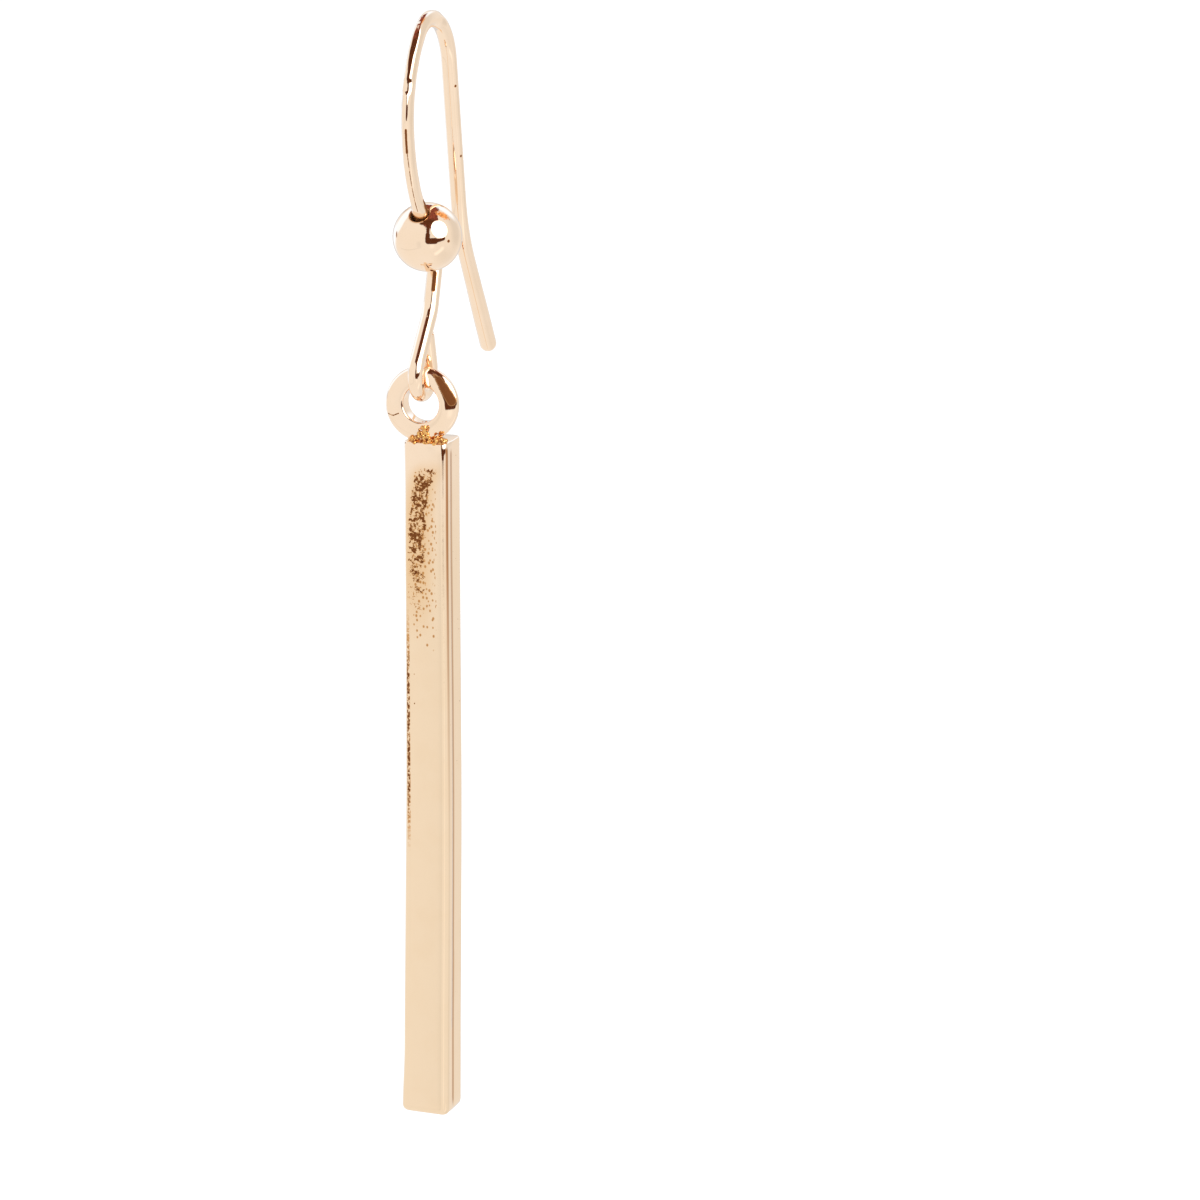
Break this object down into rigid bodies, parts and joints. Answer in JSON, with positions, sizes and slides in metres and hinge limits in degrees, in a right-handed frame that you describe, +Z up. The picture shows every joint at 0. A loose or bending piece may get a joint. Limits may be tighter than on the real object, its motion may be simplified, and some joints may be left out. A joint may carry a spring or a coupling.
{
  "type": "bar earring",
  "caption": "Drop earring: a slim square bar with rounded edges, soldered to a ring that hangs in the eye of an open ear hook with a drilled bead.",
  "frame": {"origin": "top of the hook's bend, on the centreline of its wire, where it hangs in the ear", "axes": "+Z up along the hanging bar; -Y is the bar's front and the front of the ear, with the hook in the YZ plane; +X across the bar"},
  "size_m": [0.0034, 0.0114, 0.0506],
  "materials": {
    "hook_gold": "polished gold plate",
    "bead_gold": "polished gold plate",
    "bar_gold": "polished gold plate, faintly pitted"
  },
  "bodies": {
    "hook": {"ear_hook": "hook_gold", "bead": "bead_gold"},
    "drop": {"bar_drop": "bar_gold"}
  },
  "joints": [
    {"name": "drop_swing", "type": "hinge", "parent": "hook", "child": "drop", "pos_m": [0, -0.0011, -0.01664], "axis": [0, 1, 0], "range_deg": [-70, 70]}
  ]
}
